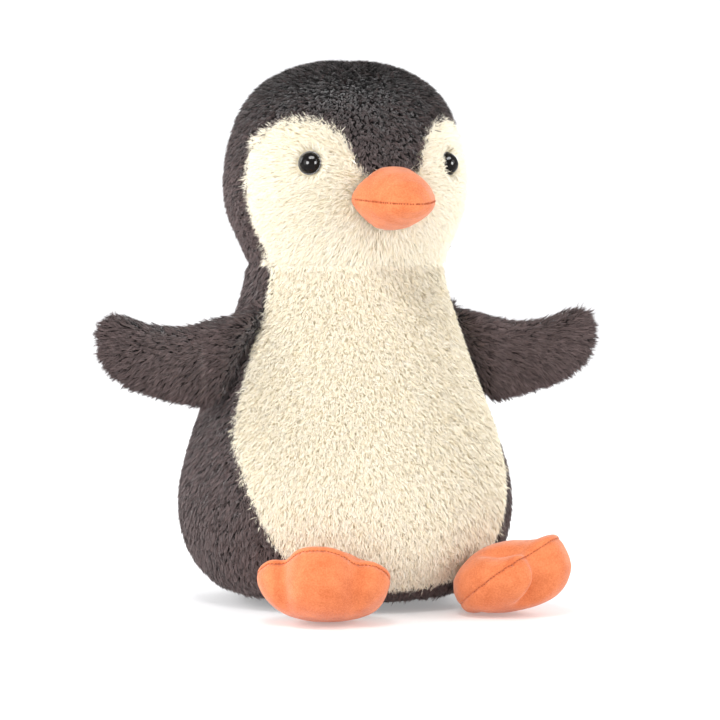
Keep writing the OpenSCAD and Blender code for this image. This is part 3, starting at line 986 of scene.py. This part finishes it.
CROWN_PAINTED_SHADE = -3.6  # painted shade: the hood's tufts take darker shades where they point up, standing for the shade on the crown
CLUMP = 6  # tufts drawn together
FLOOR = 0.2 * MM


def finished_trunk_piece(obj):
    """Bake a piece's placement into its mesh."""
    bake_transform(obj)


points, normals, rng = sampled(trunk, TRUNK_DENSITY, 11)
hidden = np.linalg.norm(points - BEAK_AT, axis=1) < BEAK_W
hidden[hidden] = is_inside(points[hidden] + normals[hidden] * PILE_TIP, tree_of(beak), 0.5 * MM)
partings = []
for side, sx in SIDES:
    centre, axis = eye_frame(sx)
    flat = points - centre
    flat = flat - (flat @ axis)[:, None] * axis
    hidden |= (np.linalg.norm(flat, axis=1) < EYE_R + 0.1 * MM) & (points @ axis > 0)
    partings.append((centre - axis * PILE_INSET, EYE_R + EYE_PARTING))
    close = np.abs(points[:, 0] - sx * WING_ROOT[0]) < WING_NEAR[0]
    close &= np.abs(points[:, 2] - WING_ROOT[2]) < WING_NEAR[1]
    inside = np.zeros(len(points), dtype=bool)
    inside[close] = is_inside(points[close], wings[side][3], 1.0 * MM)
    hidden |= inside
points, normals = points[~hidden], normals[~hidden]
owner = trunk_panels.of(points + rng.normal(0, NECK_JITTER, (len(points), 1)) * UP)
for k, name in enumerate(TRUNK):
    look, _, slot_name, length, width, lift, swirl = TRUNK_LOOK[name]
    mine = owner == k
    p, q = points[mine], normals[mine]
    fringe = np.exp(-(((p[:, 2] - CREASE_Z) / NECK_BAND) ** 2)) * (name in HEAD_PANELS)
    size = length * MM * (1 + FRINGE_LONGER * fringe)
    stand = lift + (FRINGE_LIFT - lift) * fringe
    # painted shade: hood tufts that face up are moved to darker shades
    painted_shade = CROWN_PAINTED_SHADE * np.clip(q[:, 2] * 1.4, 0, 1) if name in HOOD else 0.0
    part_from = partings if name == "face_panel" else ()
    pile = pile_object(name + "_pile", p, q, trunk_comb(p, name), size[:, None], width * MM,
                       stand[:, None], look, rng, CLUMP, swirl, FLOOR, part_from, painted_shade)
    finished_trunk_piece(pile)
for name, skin in panel_objects(trunk, trunk_owner, trunk_panels, "skin_", 1.0 * MM).items():
    _, cloth, slot_name, *_ = TRUNK_LOOK[name]
    skin.data.materials.append(cloth)
    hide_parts(name)
    finished_trunk_piece(skin)

BACK_SEAM_Z = (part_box("back_stitches")[0][2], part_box("back_stitches")[1][2])
BACK_STITCHES = 12
heights = np.linspace(*BACK_SEAM_Z, BACK_STITCHES)
hits = [trunk_tree.ray_cast(Vector((0, 0.2, z)), Vector((0, -1, 0))) for z in heights]
places = np.array([h[0] for h in hits])
outward = np.array([h[1] for h in hits])
ladder = unit(np.tile([1.0, 0.0, 0.25], (BACK_STITCHES, 1)))
thread = thread_bits("back_thread", places, ladder, outward, 4 * MM, 0.4 * MM, DARK_THREAD)
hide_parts("back_stitches")
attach(thread, "torso")

# ---------------------------------------------------------------- wings
WING_BEND = (52 * MM, 70 * MM)  # the wing's swing fades in from here to here
WING_PILE_L = 6.4 * MM
WING_PILE_W = 0.36 * MM
WING_PILE_LIFT = 0.48
WING_SWIRL = 0.3
WING_CLUMP = 7
WING_FAN = 22 * MM  # the tufts' rise over their run grows by one over this height
WING_SEED = {"left": 21, "right": 22}
for side, sx in SIDES:
    wing, wing_owner, panels, _ = wings[side]
    body = f"wing_{side}"
    span = tuple((sx * x, WING_ROOT[1], WING_ROOT[2]) for x in WING_BEND)
    points, normals, rng = sampled(wing, WING_DENSITY, WING_SEED[side])
    outside = ~is_inside(points, trunk_tree, 0.5 * MM)
    points, normals = points[outside], normals[outside]
    owner = panels.of(points)
    for k, name in enumerate(panels.names):
        mine = owner == k
        p, q = points[mine], normals[mine]
        comb = np.tile([sx * 1.0, 0.0, -0.35], (len(p), 1))
        comb[:, 2] += (p[:, 2] - WING_ROOT[2]) / WING_FAN
        pile = pile_object(name + "_pile", p, q, comb, WING_PILE_L, WING_PILE_W, WING_PILE_LIFT, CHARCOAL,
                           rng, WING_CLUMP, WING_SWIRL)
        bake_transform(pile)
    for name, skin in panel_objects(wing, wing_owner, panels, "skin_", 0.8 * MM).items():
        skin.data.materials.append(CHARCOAL_SHADED_CLOTH)
        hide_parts(name)
        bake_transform(skin)
    bpy.data.objects.remove(wing)
    wadding(f"wing_{side}_fill", body, 2.6 * MM, 2.5 * MM, True, span, lambda co: tapered(co, sx))
bpy.data.objects.remove(trunk)

# ---------------------------------------------------------------- feet and beak pieces
FOOT_BEND = (-5 * MM, 9 * MM)  # the foot's tilt fades in from here to here, outwards from its hinge
FOOT_PITCH = 1.5 * MM
FOOT_STITCH = 0.9 * MM
BEAK_PITCH = 1.3 * MM
BEAK_STITCH = 0.95 * MM
for side, sx in SIDES:
    foot, foot_owner, panels, seams = foot_skins[side]
    body = f"foot_{side}"
    hinge, across, toe, top = foot_axes(sx)
    out = foot_out(sx)
    span = tuple(tuple(hinge + out * reach) for reach in FOOT_BEND)
    skin_tree = tree_of(foot)
    path = by_angle(seams, hinge + toe * FOOT_REACH / 2, across, toe, 90)
    places, along = run_along(path, FOOT_PITCH, True)
    ahead = (places - hinge) @ toe > 4 * MM
    places, along = places[ahead], along[ahead]
    places, outward = on_skin(places, skin_tree)
    along = unit(tangent(along, outward))
    thread = thread_bits(f"foot_{side}_thread", places, along, outward, FOOT_STITCH, 0.15 * MM, ORANGE_THREAD)
    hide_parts(f"foot_{side}_stitches")
    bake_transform(thread)
    for name, skin in panel_objects(foot, foot_owner, panels, "skin_", 1.2 * MM).items():
        skin.data.materials.append(SUEDE)
        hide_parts(name)
        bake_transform(skin)
    bpy.data.objects.remove(foot)
    wadding(f"foot_{side}_fill", body, 1.5 * MM, 2 * MM, True, span, lambda co: toed(co, sx))

skin_tree = tree_of(beak)
front = beak_seams[beak_seams[:, 1] < -BEAK_BASE_Y - 1 * MM]
sideways, ahead_dir = np.array([1.0, 0, 0]), np.array([0, -1.0, 0])
path = by_angle(front, np.array([0, -BEAK_BASE_Y, BEAK_AT[2]]), sideways, ahead_dir, 120)
places, _ = run_along(path, BEAK_PITCH, False)
places, outward = on_skin(places, skin_tree)
upright = tangent(np.tile(UP, (len(places), 1)), outward)
thread = thread_bits("beak_thread", places, upright, outward, BEAK_STITCH, 0.21 * MM, ORANGE_THREAD)
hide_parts("beak_stitches")
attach(thread, "head")
for name, skin in panel_objects(beak, beak_owner, beak_panels, "skin_", 1.0 * MM).items():
    skin.data.materials.append(SUEDE)
    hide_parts(name)
    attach(skin, "head")
bpy.data.objects.remove(beak)

# ---------------------------------------------------------------- fillings, and kept CAD nodes
wadding("beak_fill", "head", 1.4 * MM, 1.6 * MM)
wadding("head_fill", "head", 1.6 * MM, 4 * MM)
wadding("body_fill", "torso", 1.6 * MM, 4 * MM, island=False)
KEPT = {"eye_washer_left": WASHER, "eye_washer_right": WASHER, "bean_pouch": POUCH, "beans": PELLETS}
for name, material in KEPT.items():
    for slot in NODES[name].material_slots:
        slot.material = material


# ---------------------------------------------------------------- floor, light, camera
PAPER = (0.72, 0.72, 0.73, 1)
PAPER_GLOW = 0.27
WALL_Y = 1.2
WALL_CURVE = 0.8
CURVE_STEPS = 12


def backdrop():
    """A pale floor that curves up behind the toy."""
    rows = [(-3.0, 0.0), (WALL_Y, 0.0)]
    for i in range(1, CURVE_STEPS + 1):
        a = i / CURVE_STEPS * math.pi / 2
        rows.append((WALL_Y + WALL_CURVE * math.sin(a), WALL_CURVE - WALL_CURVE * math.cos(a)))
    rows.append((WALL_Y + WALL_CURVE, 4.0))
    verts = [(x, y, z) for y, z in rows for x in (-4.0, 4.0)]
    faces = [(2 * i, 2 * i + 1, 2 * i + 3, 2 * i + 2) for i in range(len(rows) - 1)]
    obj = make_object("floor", verts, faces)
    paper, _, shader = principled("studio_floor")
    shader.inputs["Base Color"].default_value = PAPER
    shader.inputs["Roughness"].default_value = 0.9
    shader.inputs["Emission Color"].default_value = (1, 1, 1, 1)
    shader.inputs["Emission Strength"].default_value = PAPER_GLOW
    obj.data.materials.append(paper)


def area_light(name, place, aim, size, power):
    """A soft white light at a place, facing aim."""
    data = bpy.data.lights.new(name, "AREA")
    data.shape = "ELLIPSE"
    data.size, data.size_y = size
    data.energy = power
    obj = bpy.data.objects.new(name, data)
    obj.location = place
    obj.rotation_mode = "QUATERNION"
    obj.rotation_quaternion = (Vector(aim) - Vector(place)).to_track_quat("-Z", "Y")
    bpy.context.scene.collection.objects.link(obj)
    return obj


backdrop()
world = bpy.data.worlds.new("studio")
world.use_nodes = True
world.node_tree.nodes["Background"].inputs["Color"].default_value = (1, 1, 1, 1)
world.node_tree.nodes["Background"].inputs["Strength"].default_value = 0.85
bpy.context.scene.world = world
CENTRE = (0, 0, 0.11)
VIEW_TURN = math.radians(-22)
CATCH_DISTANCE = 1.2
CATCH_RISE = 0.05
area_light("key", (-0.39, -0.67, 1.03), CENTRE, (0.36, 0.22), 4.2)
area_light("fill", (1.0, -0.9, 0.6), CENTRE, (0.8, 0.8), 8)
area_light("left", (-1.1, -0.35, 0.35), CENTRE, (0.7, 0.9), 7)
area_light("rim_left", (-0.9, 0.8, 0.6), CENTRE, (0.5, 0.8), 9)
area_light("rim_right", (0.9, 0.9, 0.6), CENTRE, (0.5, 0.8), 6)


def catch_light(side, sx, place, size, power):
    """A studio light that only one eye receives, mirrored at a place on the eye's dome."""
    centre = eye_frame(sx)[0]
    view = np.array([math.sin(VIEW_TURN), -math.cos(VIEW_TURN), CATCH_RISE])
    right, up = place
    normal = right * np.array([math.cos(VIEW_TURN), math.sin(VIEW_TURN), 0.0]) + up * UP
    normal = normal + unit(view) * math.sqrt(1 - right * right - up * up)
    direction = 2 * (normal @ view) * normal - view
    at = centre + unit(direction) * CATCH_DISTANCE
    light = area_light(f"catch_{side}_{right}", tuple(at), tuple(centre), size, power)
    light.visible_diffuse = False
    group = bpy.data.collections.new(f"lit_{side}_{right}")
    group.objects.link(eyes[side])
    light.light_linking.receiver_collection = group


for side, sx in SIDES:
    catch_light(side, sx, (0.10, 0.50), (1.1, 0.65), 70)
    catch_light(side, sx, (-0.25, 0.03), (0.55, 0.55), 45)
    catch_light(side, sx, (0.45, 0.03), (0.55, 0.55), 45)
bpy.context.scene.view_settings.view_transform = "Standard"

VIEW_DISTANCE = 1.4
VIEW_HEIGHT = 0.172
AIM = Vector((0.0058, -0.0024, 0.1008))
camera_data = bpy.data.cameras.new("camera")
camera_data.lens = 166.7
camera_data.sensor_width = 36
camera = bpy.data.objects.new("camera", camera_data)
camera.location = (VIEW_DISTANCE * math.sin(VIEW_TURN), -VIEW_DISTANCE * math.cos(VIEW_TURN), VIEW_HEIGHT)
camera.rotation_mode = "QUATERNION"
camera.rotation_quaternion = (AIM - camera.location).to_track_quat("-Z", "Y")
bpy.context.scene.collection.objects.link(camera)
bpy.context.scene.camera = camera
